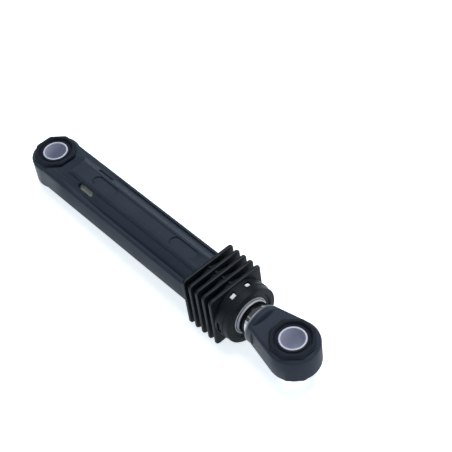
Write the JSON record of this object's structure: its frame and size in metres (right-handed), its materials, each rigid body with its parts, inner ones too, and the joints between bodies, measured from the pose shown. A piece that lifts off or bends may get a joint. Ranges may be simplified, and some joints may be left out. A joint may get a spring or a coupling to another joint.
{
  "type": "washing machine shock absorber",
  "caption": "Telescopic friction damper: a steel rod slides in a finned moulded housing, with a rubber-bushed pin eye at each end",
  "frame": {"origin": "centre of the housing eye's pin bore, halfway through the eye", "axes": "+X along the damper to the rod's eye, +Z along the pin bores, +Y across"},
  "size_m": [0.2346, 0.0364, 0.0364],
  "materials": {
    "black_plastic": "fine moulded satin, near black",
    "rubber": "dull black moulded rubber",
    "white_plastic": "smooth white moulding",
    "ivory_plastic": "smooth ivory moulding",
    "lining_foam": "greased open foam",
    "bright_steel": "bright plated steel tube"
  },
  "bodies": {
    "housing": {"housing": "black_plastic", "housing_eye_bush": "rubber", "housing_eye_sleeve": "white_plastic", "end_cap": "black_plastic", "guide_bush": "white_plastic"},
    "lining": {"friction_lining": "lining_foam"},
    "rod": {"rod_tube": "bright_steel", "rod_end_plug": "ivory_plastic", "rod_eye": "black_plastic", "rod_eye_bush": "rubber", "rod_eye_sleeve": "white_plastic"}
  },
  "joints": [
    {"name": "rod_turn", "type": "hinge", "parent": "housing", "child": "lining", "pos_m": [0.15, 0, 0], "axis": [1, 0, 0], "continuous": true},
    {"name": "rod_slide", "type": "slide", "parent": "lining", "child": "rod", "axis": [1, 0, 0], "range_m": [-0.0055, 0.092]}
  ]
}
